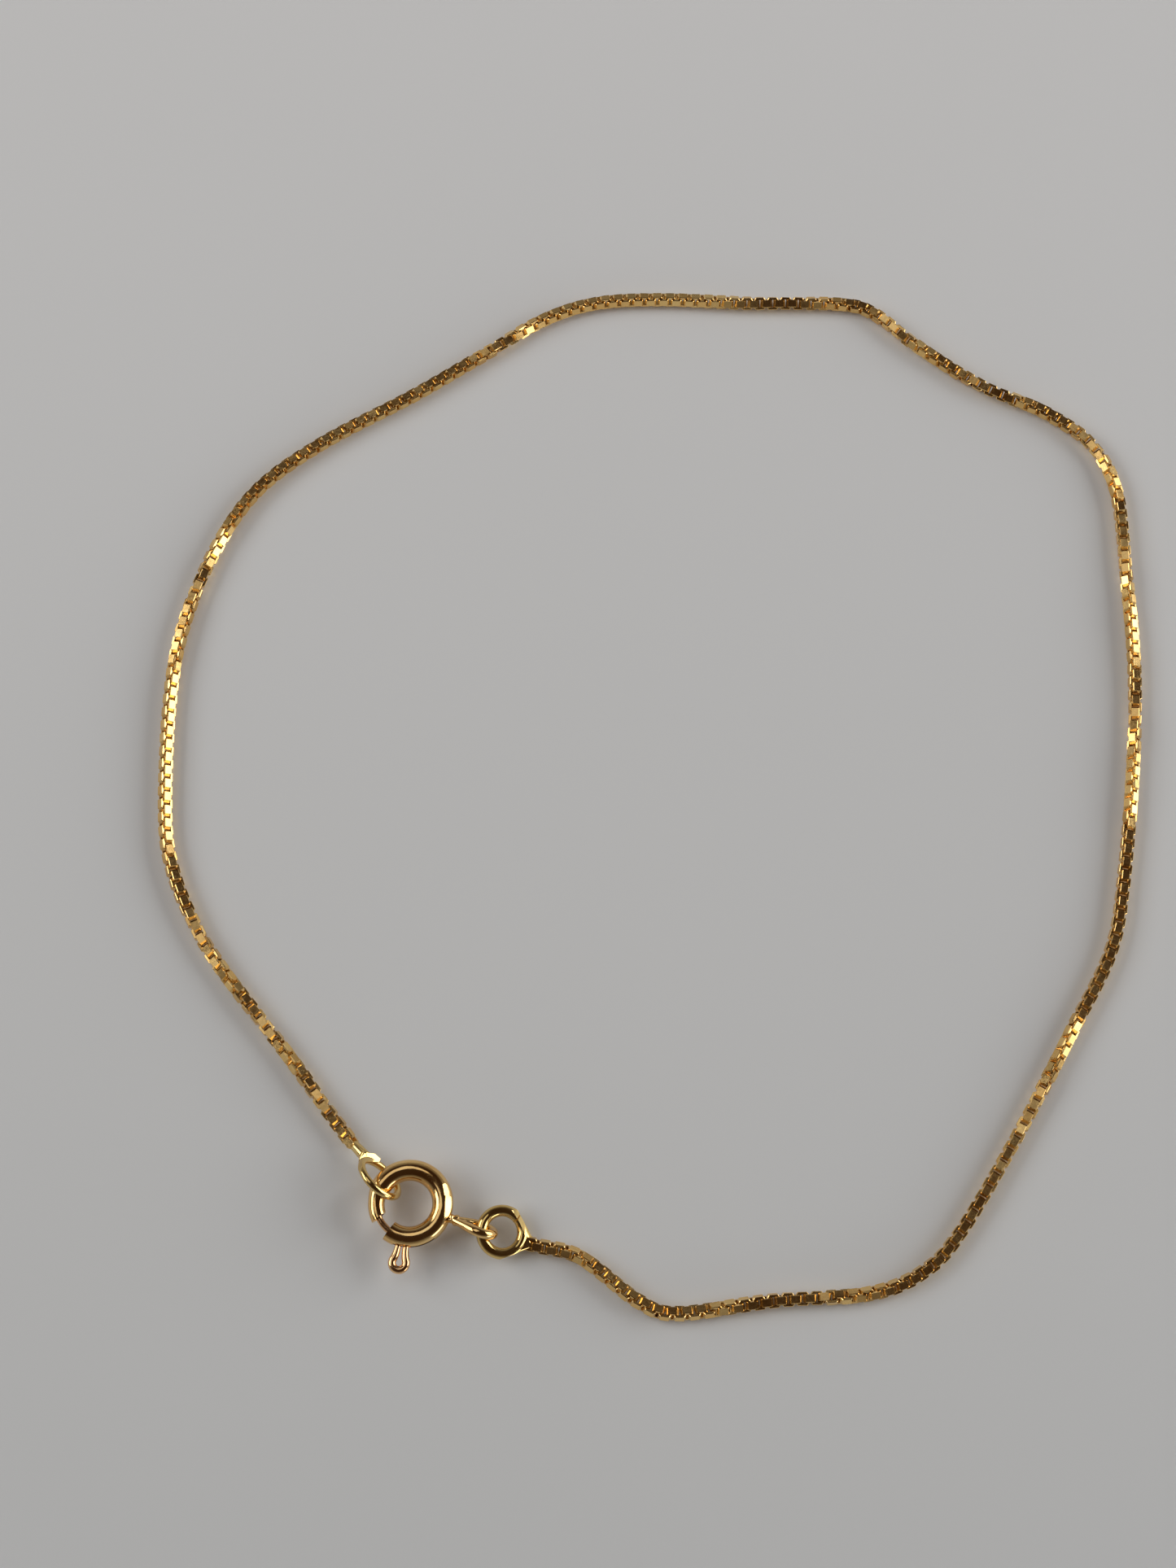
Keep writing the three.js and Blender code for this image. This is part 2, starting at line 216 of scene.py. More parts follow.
# Solder webs: thickness, tip, rounded edges, and the shares of the flank's angle where one meets its ring
CATCH_WEB = 0.5
JUMP_WEB = 0.66
WEB_TIP = 0.5
WEB_ROUND = 0.1
WEB_MEETS_RING = (0.6, 0.2, -0.2, -0.6)

# The file's flats on both flanks of a web, and along the jump ring's upper edge
FLANK_ANGLE = 49.5
FILE_DEPTH = 0.14
FACET_TILT = 56
FACET_DEPTH = 0.14

# The lump of solder on the lower side of the catch ring's web, and the flat filed across both
SHOULDER_OUTLINE = [(1.46, -0.84), (1.85, -0.45), (2.0, 0.1), (1.7, 0.3), (1.4, -0.2), (1.28, -0.7)]
SHOULDER_HEIGHT = 0.9
SHOULDER_SINK = 0.17
SHOULDER_TOP = (1.68, -0.2, 0.3)
SHOULDER_STEP = 0.015
SHOULDER_BEARING = 22
SHOULDER_RISE = 52

# How finely rings and round wires are drawn
RING_STEPS = 72
RING_SIDES = 24


def turned(angle, axis):
    return Matrix.Rotation(radians(angle), 4, axis)


def moved(x=0.0, y=0.0, z=0.0):
    return Matrix.Translation((x, y, z))


def share_between(value, low, high):
    """How far a value has come from low to high, from 0 to 1."""
    return min(1.0, max(0.0, (value - low) / (high - low)))


def eased_share(share):
    """The same share with a soft start and a soft stop."""
    return share * share * (3 - 2 * share)


# Sizes that follow from the ones above
TUBE_RADIUS = (CLASP_DIAMETER - TUBE_DIAMETER) / 2
BORE_DIAMETER = BOLT_DIAMETER + 2 * BORE_CLEARANCE
LEVER_BEND = (LEVER_WIDTH - LEVER_HEAD) / 2
LEVER_ROUTE = TUBE_DIAMETER / 2 + LEVER_REACH - LEVER_HEAD / 2
BOLT_TRAVEL = MOUTH_TO - MOUTH_FROM + BOLT_ENTRY
EYELET_BEND = (EYELET_HEIGHT - EYELET_WIRE) / 2
EYELET_ROUTE = EYELET_LENGTH - NECK_STAND - EYELET_WIRE / 2

# The spring ring lies round its bolt's hinge
HINGE = Vector(frame["joints"][0]["pos_m"]) / MM
CLASP = Matrix.Translation(HINGE)

# The catch ring leans round the tube
CATCH_DIAMETER = TUBE_DIAMETER + CATCH_PLAY + 2 * CATCH_WIRE
CATCH_RADIUS = (CATCH_DIAMETER - CATCH_WIRE) / 2
CATCH_SLOPE = hypot(sin(radians(CATCH_DIP)), cos(radians(CATCH_DIP)) * cos(radians(CATCH_LEAN)))
CATCH = (
    moved(
        HINGE.x + (TUBE_RADIUS + CATCH_SHIFT) * cos(radians(CATCH_ANGLE)),
        HINGE.y + (TUBE_RADIUS + CATCH_SHIFT) * sin(radians(CATCH_ANGLE)),
        CATCH_RADIUS * CATCH_SLOPE + CATCH_WIRE / 2,
    )
    @ turned(CATCH_HEADING, "Z") @ turned(CATCH_DIP, "Y") @ turned(90 - CATCH_LEAN, "X")
)


def web_reach(diameter):
    """How far the tip of a filed solder web stands from its ring's middle."""
    flank = radians(FLANK_ANGLE)
    return (diameter / 2 - FILE_DEPTH - WEB_TIP / 2 * sin(flank)) / cos(flank)


CATCH_REACH = web_reach(CATCH_DIAMETER)
NECK_WAY = (turned(NECK_HEADING, "Z") @ turned(NECK_DIP, "Y")).to_3x3() @ Vector((1, 0, 0))
NECK_WAY = CATCH.to_3x3().inverted() @ NECK_WAY
NECK_FOOT = Vector((CATCH_REACH - WEB_TIP, 0, 0))

# The jump ring passes over the eyelet's lower wire and slopes down to the chain
JUMP_RADIUS = (JUMP_DIAMETER - JUMP_WIRE) / 2
JUMP_REACH = web_reach(JUMP_DIAMETER)
PASS_HEIGHT = (
    HINGE.z - EYELET_BEND * cos(radians(EYELET_LEAN)) + (EYELET_WIRE + JUMP_WIRE) / 2 + JUMP_PASS_GAP
)
PASS_REACH = CLASP_DIAMETER / 2 + EYELET_LENGTH - EYELET_WIRE - JUMP_SLACK - JUMP_WIRE / 2
TIP_FORWARD = JUMP_REACH * cos(radians(JUMP_WEB_TURN))
JUMP_SLOPE = asin((PASS_HEIGHT - LINK_WIDTH / 2) / (JUMP_RADIUS + TIP_FORWARD))
JUMP_HEADING = radians(EYELET_ANGLE + JUMP_SWING)
JUMP_OUT = JUMP_RADIUS * cos(JUMP_SLOPE)
JUMP = (
    moved(
        HINGE.x + PASS_REACH * cos(radians(EYELET_ANGLE)) + JUMP_OUT * cos(JUMP_HEADING),
        HINGE.y + PASS_REACH * sin(radians(EYELET_ANGLE)) + JUMP_OUT * sin(JUMP_HEADING),
        PASS_HEIGHT - JUMP_RADIUS * sin(JUMP_SLOPE),
    )
    @ Matrix.Rotation(JUMP_HEADING, 4, "Z") @ Matrix.Rotation(JUMP_SLOPE, 4, "Y")
)

CHAIN_START = CATCH @ (NECK_FOOT + NECK_WAY * (NECK_LENGTH + JOINT_GAP))
CHAIN_END = JUMP @ turned(JUMP_WEB_TURN, "Z") @ Vector((JUMP_REACH + JOINT_GAP, 0, 0))


class Shade:
    """A shader socket that takes part in sums."""

    def __init__(self, nodes, socket):
        self.nodes = nodes
        self.socket = socket

    def maths(self, operation, *values):
        return self.nodes.add("ShaderNodeMath", {"operation": operation}, dict(enumerate(values)))

    def __add__(self, other):
        return self.maths("ADD", self, other)

    def __sub__(self, other):
        return self.maths("SUBTRACT", self, other)

    def __rsub__(self, other):
        return self.maths("SUBTRACT", other, self)

    def __mul__(self, other):
        return self.maths("MULTIPLY", self, other)

    __radd__ = __add__
    __rmul__ = __mul__


class Nodes:
    """The nodes of one material or of the room, each made by the same method."""

    def __init__(self, owner):
        owner.use_nodes = True
        self.tree = owner.node_tree
        self.tree.nodes.clear()

    def add(self, kind, settings, inputs, output=0):
        node = self.tree.nodes.new(kind)
        for name, value in settings.items():
            if name == "stops":
                for stop, (place, colour) in zip(node.color_ramp.elements, value):
                    stop.position = place
                    stop.color = colour
            else:
                setattr(node, name, value)
        for name, value in inputs.items():
            if isinstance(value, Shade):
                self.tree.links.new(value.socket, node.inputs[name])
            else:
                node.inputs[name].default_value = value
        return Shade(self, node.outputs[output]) if node.outputs else node

    def noise(self, place, scale, detail=2.0, roughness=0.5):
        inputs = {"Vector": place, "Scale": scale, "Detail": detail, "Roughness": roughness}
        return self.add("ShaderNodeTexNoise", {}, inputs)

    def spread(self, value, low, high, to_low=0.0, to_high=1.0):
        inputs = {0: value, 1: low, 2: high, 3: to_low, 4: to_high}
        return self.add("ShaderNodeMapRange", {"clamp": True}, inputs)

    def blended(self, share, first, second):
        return self.add("ShaderNodeMix", {"data_type": "RGBA"}, {0: share, 6: first, 7: second}, 2)


# Finishes, each between a pale and a deep tone
GOLD_PALE = (0.94, 0.66, 0.27, 1)
GOLD_DEEP = (0.86, 0.53, 0.18, 1)
SOLDER_PALE = (0.88, 0.65, 0.27, 1)
SOLDER_DEEP = (0.75, 0.50, 0.17, 1)
TUBE_PALE = (0.94, 0.65, 0.28, 1)
TUBE_DEEP = (0.83, 0.50, 0.18, 1)
ROSE_PALE = (0.93, 0.60, 0.30, 1)
ROSE_DEEP = (0.85, 0.48, 0.21, 1)
# Table: a lighter far colour and a darker near colour, which are painted light and painted shade
TABLE_FAR_PAINTED_LIGHT = (0.93, 0.94, 0.95, 1)
TABLE_NEAR_PAINTED_SHADE = (0.77, 0.79, 0.80, 1)

# How fine the patterns are, in cells a metre
CLOUD_SCALE = 700
RUBBED_SCALE = 5200
MARK_SCALE = 2600
TABLE_CLOUD_SCALE = 22
TABLE_GRAIN_SCALE = 4000

# How much a link's own tone counts, how the gloss varies, and how high marks and grain stand
LINK_TONE_SHARE = 0.65
CLOUD_IN_GLOSS = 0.6
GLOSS_LOW = 0.75
GLOSS_HIGH = 1.35
MARK_HEIGHT = 0.15
GOLD_BUMP = 0.5
TABLE_BUMP = 0.06
BUMP_DISTANCE = 0.00002


def polished(name, pale, deep, roughness, streak, wave_scale, wave, tone_attribute=None):
    """Polished gold: clouds of tone, fine rubbing marks and the small unevenness of handwork."""
    material = bpy.data.materials.new(name)
    nodes = Nodes(material)
    place = nodes.add("ShaderNodeTexCoord", {}, {}, "Object")
    cloud = nodes.noise(place, CLOUD_SCALE, detail=3.0)
    rubbed = nodes.noise(place, RUBBED_SCALE, detail=4.0, roughness=0.65)
    tone = nodes.spread(cloud, low=0.3, high=0.72)
    if tone_attribute:
        link = nodes.add("ShaderNodeAttribute", {"attribute_name": tone_attribute}, {}, "Fac")
        tone = tone * (1 - LINK_TONE_SHARE) + link * LINK_TONE_SHARE
    colour = nodes.blended(tone, deep, pale)
    rubbed = rubbed + (cloud - 0.5) * CLOUD_IN_GLOSS
    rough = nodes.spread(
        rubbed, low=0.3, high=0.75, to_low=roughness * GLOSS_LOW, to_high=roughness * GLOSS_HIGH
    )
    stretched = nodes.add(
        "ShaderNodeMapping", {}, {"Vector": place, "Scale": (1.0, 1.0, streak)}
    )
    marks = nodes.noise(stretched, MARK_SCALE, detail=3.0, roughness=0.6)
    height = marks * MARK_HEIGHT + nodes.noise(place, wave_scale, detail=1.0) * wave
    bump = nodes.add(
        "ShaderNodeBump", {}, {"Height": height, "Strength": GOLD_BUMP, "Distance": BUMP_DISTANCE}
    )
    shader = nodes.add(
        "ShaderNodeBsdfPrincipled", {},
        {"Base Color": colour, "Metallic": 1.0, "Roughness": rough, "Normal": bump},
    )
    nodes.add("ShaderNodeOutputMaterial", {}, {"Surface": shader})
    return material


def pale_table_painted_shade():
    """A pale lacquered table top with faint clouding, and painted shade that darkens its colour towards
    the near side.
    """
    material = bpy.data.materials.new("pale_table_painted_shade")
    nodes = Nodes(material)
    place = nodes.add("ShaderNodeTexCoord", {}, {}, "Object")
    cloud = nodes.noise(place, TABLE_CLOUD_SCALE, detail=3.0)
    # Painted shade: the colour darkens from the far side to the near side along Y, and the clouding
    # wobbles where that shade falls
    depth = nodes.add("ShaderNodeSeparateXYZ", {}, {"Vector": place}, "Y")
    depth = depth + (cloud - 0.5) * TABLE_CLOUDING
    tone = nodes.spread(depth, low=-TABLE_SHADE_REACH, high=TABLE_SHADE_REACH)
    colour = nodes.blended(tone, TABLE_NEAR_PAINTED_SHADE, TABLE_FAR_PAINTED_LIGHT)
    grain = nodes.noise(place, TABLE_GRAIN_SCALE, detail=2.0)
    bump = nodes.add(
        "ShaderNodeBump", {}, {"Height": grain, "Strength": TABLE_BUMP, "Distance": BUMP_DISTANCE}
    )
    shader = nodes.add(
        "ShaderNodeBsdfPrincipled", {},
        {"Base Color": colour, "Roughness": TABLE_ROUGHNESS, "Normal": bump},
    )
    nodes.add("ShaderNodeOutputMaterial", {}, {"Surface": shader})
    return material


GOLD = polished(
    "chain_gold", GOLD_PALE, GOLD_DEEP, roughness=0.22, streak=1.0, wave_scale=1500, wave=0.8,
    tone_attribute="link_tone",
)
TUBE_GOLD = polished(
    "spring_ring_gold", TUBE_PALE, TUBE_DEEP, roughness=0.12, streak=3.0, wave_scale=1200, wave=2.0
)
ROSE_GOLD = polished(
    "bolt_rose_gold", ROSE_PALE, ROSE_DEEP, roughness=0.13, streak=1.0, wave_scale=1200, wave=1.0
)
SOLDER_GOLD = polished(
    "solder_gold", SOLDER_PALE, SOLDER_DEEP, roughness=0.14, streak=1.0, wave_scale=1300, wave=2.2
)


def ring_frame(point, way, up, radius):
    """Where a wire's round section stands: across the wire's way, with one side up."""
    side = up.cross(way).normalized()
    over = way.cross(side).normalized()
    stand = Matrix((side, over, way.normalized())).transposed().to_4x4()
    return Matrix.Translation(point) @ stand @ Matrix.Scale(radius, 4)


def new_edges(made):
    """The points of an extrusion, and the edges that run between them."""
    verts = {part for part in made if isinstance(part, bmesh.types.BMVert)}
    edges = [part for part in made if isinstance(part, bmesh.types.BMEdge)]
    return list(verts), [edge for edge in edges if all(vert in verts for vert in edge.verts)]


def drawn(bm, frames, sides):
    """A round section drawn through the frames. Gives the open edges at both ends."""
    circle = bmesh.ops.create_circle(bm, segments=sides, radius=1.0, matrix=frames[0])["verts"]
    first = list({edge for vert in circle for edge in vert.link_edges})
    edges = first
    for before, after in zip(frames, frames[1:]):
        verts, edges = new_edges(bmesh.ops.extrude_edge_only(bm, edges=edges)["geom"])
        bmesh.ops.transform(bm, matrix=after @ before.inverted(), verts=verts)
    return first, edges


def wire(frames, sides):
    """A solid wire with flat ends."""
    bm = bmesh.new()
    for edges in drawn(bm, frames, sides):
        bmesh.ops.edgeloop_fill(bm, edges=edges)
    bmesh.ops.recalc_face_normals(bm, faces=bm.faces)
    return bm


def arc_frames(radius, start, stop, steps, wire_radius, slant=lambda angle: 0):
    """Frames round the Z axis. The wire's radius and its slant across the arc go by the angle."""
    frames = []
    for step in range(steps + 1):
        angle = start + (stop - start) * step / steps
        out = Vector((cos(radians(angle)), sin(radians(angle)), 0))
        way = Vector((-out.y, out.x, 0))
        upright = ring_frame(out * radius, way, Vector((0, 0, 1)), wire_radius(angle))
        lean = slant(angle)
        stretch = Matrix.Diagonal((1 / cos(radians(lean)), 1, 1, 1))
        frames.append(upright @ turned(lean, "Y") @ stretch)
    return frames


def hairpin_frames(reach, bend, mouth, root_radius, head_radius, touch=None):
    """Frames out along +X, round an end bend and back, with the two ends a mouth apart.

    The legs run straight to the bend, or flare into it when the angle where they touch it is given."""
    centre = reach - bend
    foot = Vector((0, mouth / 2, 0))
    if touch is None:
        knee_angle = atan2(mouth / 2, -centre) - acos(bend / hypot(centre, mouth / 2))
    else:
        knee_angle = radians(touch)
    knee = Vector((centre + bend * cos(knee_angle), bend * sin(knee_angle), 0))
    turn = foot.lerp(knee, 0.5)
    if touch is not None:
        turn = Vector((knee.x + (knee.y - mouth / 2) * tan(knee_angle), mouth / 2, 0))
    leg = []
    for step in range(LEG_STEPS):
        share = step / LEG_STEPS
        swell = root_radius + (head_radius - root_radius) * eased_share(share)
        before, after = foot.lerp(turn, share), turn.lerp(knee, share)
        leg.append((before.lerp(after, share), (after - before).normalized(), swell))
    route = list(leg)
    for step in range(BEND_STEPS + 1):
        angle = knee_angle * (1 - 2 * step / BEND_STEPS)
        out = Vector((cos(angle), sin(angle), 0))
        route.append((Vector((centre, 0, 0)) + out * bend, Vector((out.y, -out.x, 0)), head_radius))
    flip = Matrix.Diagonal((1, -1, 1))
    route += [(flip @ point, -(flip @ way), swell) for point, way, swell in reversed(leg)]
    return [ring_frame(point, way, Vector((0, 0, 1)), swell) for point, way, swell in route]


def wire_ring(radius, wire_diameter):
    """A closed ring of round wire in the XY plane."""
    bm = bmesh.new()
    section = moved(radius) @ turned(90, "X")
    circle = bmesh.ops.create_circle(bm, segments=RING_SIDES, radius=wire_diameter / 2, matrix=section)
    edges = list({edge for vert in circle["verts"] for edge in vert.link_edges})
    bmesh.ops.spin(
        bm, geom=circle["verts"] + edges, cent=(0, 0, 0), axis=(0, 0, 1), angle=2 * pi,
        steps=RING_STEPS, use_merge=True,
    )
    bmesh.ops.remove_doubles(bm, verts=bm.verts, dist=WELD)
    bmesh.ops.recalc_face_normals(bm, faces=bm.faces)
    return bm


def plate(outline, thickness):
    """A flat plate of the outline, half its thickness above and below the XY plane."""
    bm = bmesh.new()
    verts = [bm.verts.new((x, y, -thickness / 2)) for x, y in outline]
    face = bm.faces.new(verts)
    made = bmesh.ops.extrude_face_region(bm, geom=[face])["geom"]
    top = [part for part in made if isinstance(part, bmesh.types.BMVert)]
    bmesh.ops.translate(bm, verts=top, vec=(0, 0, thickness))
    bmesh.ops.recalc_face_normals(bm, faces=bm.faces)
    return bm


def sharp_edges(bm):
    return [
        edge for edge in bm.edges
        if edge.is_manifold and edge.calc_face_angle() > radians(SHARP_CORNER)
    ]


def eased(bm, width, segments):
    """Rounds the sharp edges."""
    edges = sharp_edges(bm)
    bmesh.ops.bevel(
        bm, geom=edges, offset=width, segments=segments, profile=0.5, affect="EDGES", material=-1,
        clamp_overlap=True,
    )
    return bm


def filed(bm, point, normal):
    """Takes off what stands beyond a plane, and closes the flat that the file leaves."""
    parts = bm.verts[:] + bm.edges[:] + bm.faces[:]
    cut = bmesh.ops.bisect_plane(
        bm, geom=parts, dist=WELD / 10, plane_co=point, plane_no=normal, clear_outer=True
    )
    edges = [part for part in cut["geom_cut"] if isinstance(part, bmesh.types.BMEdge)]
    bmesh.ops.holes_fill(bm, edges=edges, sides=0)
    return bm


def worked(base, steps, crossing=False):
    """The base joined with or cut by other closed shapes, in turn.

    Crossing is for a shape that runs through itself."""
    made = []
    for number, bm in enumerate([base] + [shape for _, shape in steps]):
        mesh = bpy.data.meshes.new(f"bench_{number}")
        bm.to_mesh(mesh)
        bm.free()
        made.append(bpy.data.objects.new(f"bench_{number}", mesh))
        bpy.context.scene.collection.objects.link(made[-1])
    for (operation, _), other in zip(steps, made[1:]):
        joining = made[0].modifiers.new(operation.lower(), "BOOLEAN")
        joining.operation = operation
        joining.object = other
        joining.solver = "EXACT"
        joining.use_self = crossing
    bpy.context.view_layer.update()
    finished = made[0].evaluated_get(bpy.context.evaluated_depsgraph_get())
    bm = bmesh.new()
    bm.from_mesh(finished.to_mesh())
    finished.to_mesh_clear()
    for item in made:
        mesh = item.data
        bpy.data.objects.remove(item)
        bpy.data.meshes.remove(mesh)
    bmesh.ops.remove_doubles(bm, verts=bm.verts, dist=WELD)
    return bm


def placed(name, bm, matrix, finish, body, node):
    """Puts a finished piece in the frame, in metres, on its body and in its node's stead."""
    bmesh.ops.transform(bm, matrix=Matrix.Scale(MM, 4) @ matrix, verts=bm.verts)
    mesh = bpy.data.meshes.new(name)
    bm.to_mesh(mesh)
    bm.free()
    mesh.shade_smooth()
    mesh.set_sharp_from_angle(angle=radians(CREASE))
    mesh.materials.append(finish)
    piece = bpy.data.objects.new(name, mesh)
    bpy.context.scene.collection.objects.link(piece)
    even = piece.modifiers.new("even_shading", "WEIGHTED_NORMAL")
    even.keep_sharp = True
    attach(piece, body)
    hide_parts(node)
    return piece


def solder_web(diameter, wire_diameter, thickness):
    """The wedge of solder between a ring and the chain, its edges run round."""
    flank = radians(FLANK_ANGLE)
    file_line = diameter / 2 - FILE_DEPTH
    reach = web_reach(diameter)
    inner = (diameter - wire_diameter) / 2
    outline = [(reach, -WEB_TIP / 2), (reach, WEB_TIP / 2)]
    outline.append((file_line * cos(flank), file_line * sin(flank)))
    outline += [
        (inner * cos(share * flank), inner * sin(share * flank)) for share in WEB_MEETS_RING
    ]
    outline.append((file_line * cos(flank), -file_line * sin(flank)))
    return eased(plate(outline, thickness), WEB_ROUND, 3)


def filed_flanks(bm, diameter):
    """The two flats beside a web, where a file has run on to the ring."""
    for side in (1, -1):
        normal = Vector((cos(radians(FLANK_ANGLE)), side * sin(radians(FLANK_ANGLE)), 0))
        filed(bm, normal * (diameter / 2 - FILE_DEPTH), normal)
    return bm


def filed_edge(bm, diameter, wire_diameter):
    """One inclined flat along a web's upper edge and the ring beside it."""
    flank, tilt = radians(FLANK_ANGLE), radians(FACET_TILT)
    normal = Vector((cos(flank) * cos(tilt), sin(flank) * cos(tilt), sin(tilt)))
    reach = (diameter - wire_diameter) / 2 * cos(tilt) + wire_diameter / 2 - FACET_DEPTH
    return filed(bm, normal * reach, normal)


def shouldered_web():
    """The catch ring's web and the lump on its lower side, both filed by the same stroke."""
    shoulder = plate(SHOULDER_OUTLINE, SHOULDER_HEIGHT)
    lift = SHOULDER_HEIGHT / 2 - SHOULDER_SINK
    bmesh.ops.translate(shoulder, verts=shoulder.verts, vec=(0, 0, lift))
    upward = turned(SHOULDER_BEARING, "Z") @ turned(90 - SHOULDER_RISE, "Y")
    normal = CATCH.to_3x3().inverted() @ (upward.to_3x3() @ Vector((0, 0, 1)))
    top = Vector(SHOULDER_TOP)
    web = filed(solder_web(CATCH_DIAMETER, CATCH_WIRE, CATCH_WEB), top - normal * SHOULDER_STEP, normal)
    return [("UNION", web), ("UNION", filed(shoulder, top, normal))]


def catch_ring():
    """The plain ring with its web, its shoulder and the neck that holds the chain."""
    bm = filed_flanks(wire_ring(CATCH_RADIUS, CATCH_WIRE), CATCH_DIAMETER)
    turn = Vector((0, 0, 1)).rotation_difference(NECK_WAY).to_matrix().to_4x4()
    neck = bmesh.new()
    bmesh.ops.create_cone(
        neck, cap_ends=True, segments=RING_SIDES, depth=NECK_LENGTH,
        radius1=(NECK_ROOT + NECK_SWELL) / 2, radius2=(NECK_TIP + NECK_SWELL) / 2,
        matrix=Matrix.Translation(NECK_FOOT + NECK_WAY * NECK_LENGTH / 2) @ turn,
    )
    eased(neck, NECK_ROUND, 4)
    bm = worked(bm, shouldered_web() + [("UNION", neck)])
    return placed(
        "catch_ring_soldered", bm, CATCH, SOLDER_GOLD, "anklet", "catch_ring"
    )


def jump_ring():
    """The open ring with its web at the chain's other end."""
    bm = filed_flanks(wire_ring(JUMP_RADIUS, JUMP_WIRE + JUMP_SWELL), JUMP_DIAMETER)
    half = SLIT_WIDTH / 2
    slit = plate([(0, -half), (JUMP_DIAMETER, -half), (JUMP_DIAMETER, half), (0, half)], 2 * JUMP_WIRE)
    bmesh.ops.transform(slit, matrix=turned(SLIT_ANGLE, "Z") @ turned(SLIT_LEAN, "X"), verts=slit.verts)
    bm = worked(bm, [("UNION", solder_web(JUMP_DIAMETER, JUMP_WIRE, JUMP_WEB))])
    filed_edge(bm, JUMP_DIAMETER, JUMP_WIRE)
    bm = worked(bm, [("DIFFERENCE", slit)])
    place = JUMP @ turned(JUMP_WEB_TURN, "Z")
    return placed("jump_ring_soldered", bm, place, SOLDER_GOLD, "anklet", "jump_ring")


def tube_radius(angle):
    """The tube's own radius, drawn down towards the mouth that the bolt closes into."""
    share = eased_share(share_between(angle - FULL_TURN, NARROW_FROM, NARROW_TO))
    return (TUBE_DIAMETER + (MOUTH_DIAMETER - TUBE_DIAMETER) * share) / 2


def lever_slot():
    """The slot along the tube's outer side, as long as the lever's width and its travel."""
    spread = (LEVER_BEND - LEVER_MOUTH / 2) * TUBE_DIAMETER / 2 / (LEVER_ROUTE - LEVER_BEND)
    half = LEVER_MOUTH / 2 + spread + LEVER_WIRE / 2 + SLOT_CLEARANCE
    half_angle = atan2(half, CLASP_DIAMETER / 2) * 180 / pi
    start = LEVER_ANGLE - half_angle
    stop = LEVER_ANGLE + half_angle + BOLT_TRAVEL
    height = LEVER_WIRE + 2 * SLOT_CLEARANCE
    bm = bmesh.new()
    section = turned(start, "Z") @ moved(TUBE_RADIUS + TUBE_DIAMETER / 2) @ turned(90, "X")
    made = bmesh.ops.create_grid(
        bm, x_segments=1, y_segments=1, size=0.5,
        matrix=section @ Matrix.Diagonal((TUBE_DIAMETER, height, 1, 1)),
    )
    face = made["verts"][0].link_faces[0]
    bmesh.ops.spin(
        bm, geom=[face] + face.edges[:] + face.verts[:], cent=(0, 0, 0), axis=(0, 0, 1),
        angle=radians(stop - start), steps=SLOT_STEPS, use_merge=False,
    )
    bmesh.ops.remove_doubles(bm, verts=bm.verts, dist=WELD)
    bmesh.ops.recalc_face_normals(bm, faces=bm.faces)
    return bm


def mouth_slant(angle):
    """How far the tube's cut end leans at the mouth that the bolt closes into."""
    return MOUTH_SLANT * share_between(angle - FULL_TURN, NARROW_TO, MOUTH_FROM)


def hollow_tube():
    """The spring ring's tube, bored right through, with the lever's slot cut along it."""
    start, stop = MOUTH_TO, MOUTH_FROM + FULL_TURN
    skin = wire(arc_frames(TUBE_RADIUS, start, stop, TUBE_STEPS, tube_radius, mouth_slant), TUBE_SIDES)
    bore_radius = BORE_DIAMETER / 2
    bore_ends = (start - BORE_OVERRUN, stop + BORE_OVERRUN)
    bore = wire(arc_frames(TUBE_RADIUS, *bore_ends, TUBE_STEPS, lambda angle: bore_radius), TUBE_SIDES)
    for bearing, rise, depth in TUBE_FLATS:
        normal = turned(bearing, "Z") @ turned(90 - rise, "Y") @ Vector((0, 0, 1))
        filed(skin, normal * (TUBE_RADIUS * cos(radians(rise)) + TUBE_DIAMETER / 2 - depth), normal)
    return worked(skin, [("DIFFERENCE", bore), ("DIFFERENCE", lever_slot())])


def neck_bead():
    """A flare on the tube, a waist and a bead, turned round one axis."""
    length = NECK_STAND + NECK_SINK
    points = [(along * length, radius * NECK_BEAD) for along, radius in NECK_OUTLINE]
    frames = [
        moved(along) @ turned(90, "Y") @ Matrix.Scale(radius, 4) for along, radius in points
    ]
    bm = wire(frames, RING_SIDES)
    place = turned(EYELET_ANGLE, "Z") @ moved(CLASP_DIAMETER / 2 - NECK_SINK)
    bmesh.ops.transform(bm, matrix=place, verts=bm.verts)
    return bm


def eyelet():
    """The bent wire, whose two ends come together in the neck."""
    head = (EYELET_WIRE + EYELET_SWELL) / 2
    frames = hairpin_frames(EYELET_ROUTE, EYELET_BEND, EYELET_MOUTH, EYELET_ROOT / 2, head)
    bm = wire(frames, RING_SIDES)
    place = turned(EYELET_ANGLE, "Z") @ moved(CLASP_DIAMETER / 2 + NECK_STAND)
    place = place @ turned(90 + EYELET_LEAN, "X")
    bmesh.ops.transform(bm, matrix=place, verts=bm.verts)
    return bm


def clasp_tube():
    """The spring ring's tube with its bead and eyelet."""
    bm = worked(hollow_tube(), [("UNION", neck_bead())])
    bm = worked(bm, [("UNION", eyelet())], crossing=True)
    return placed("clasp_tube", bm, CLASP, TUBE_GOLD, "anklet", "clasp_body")


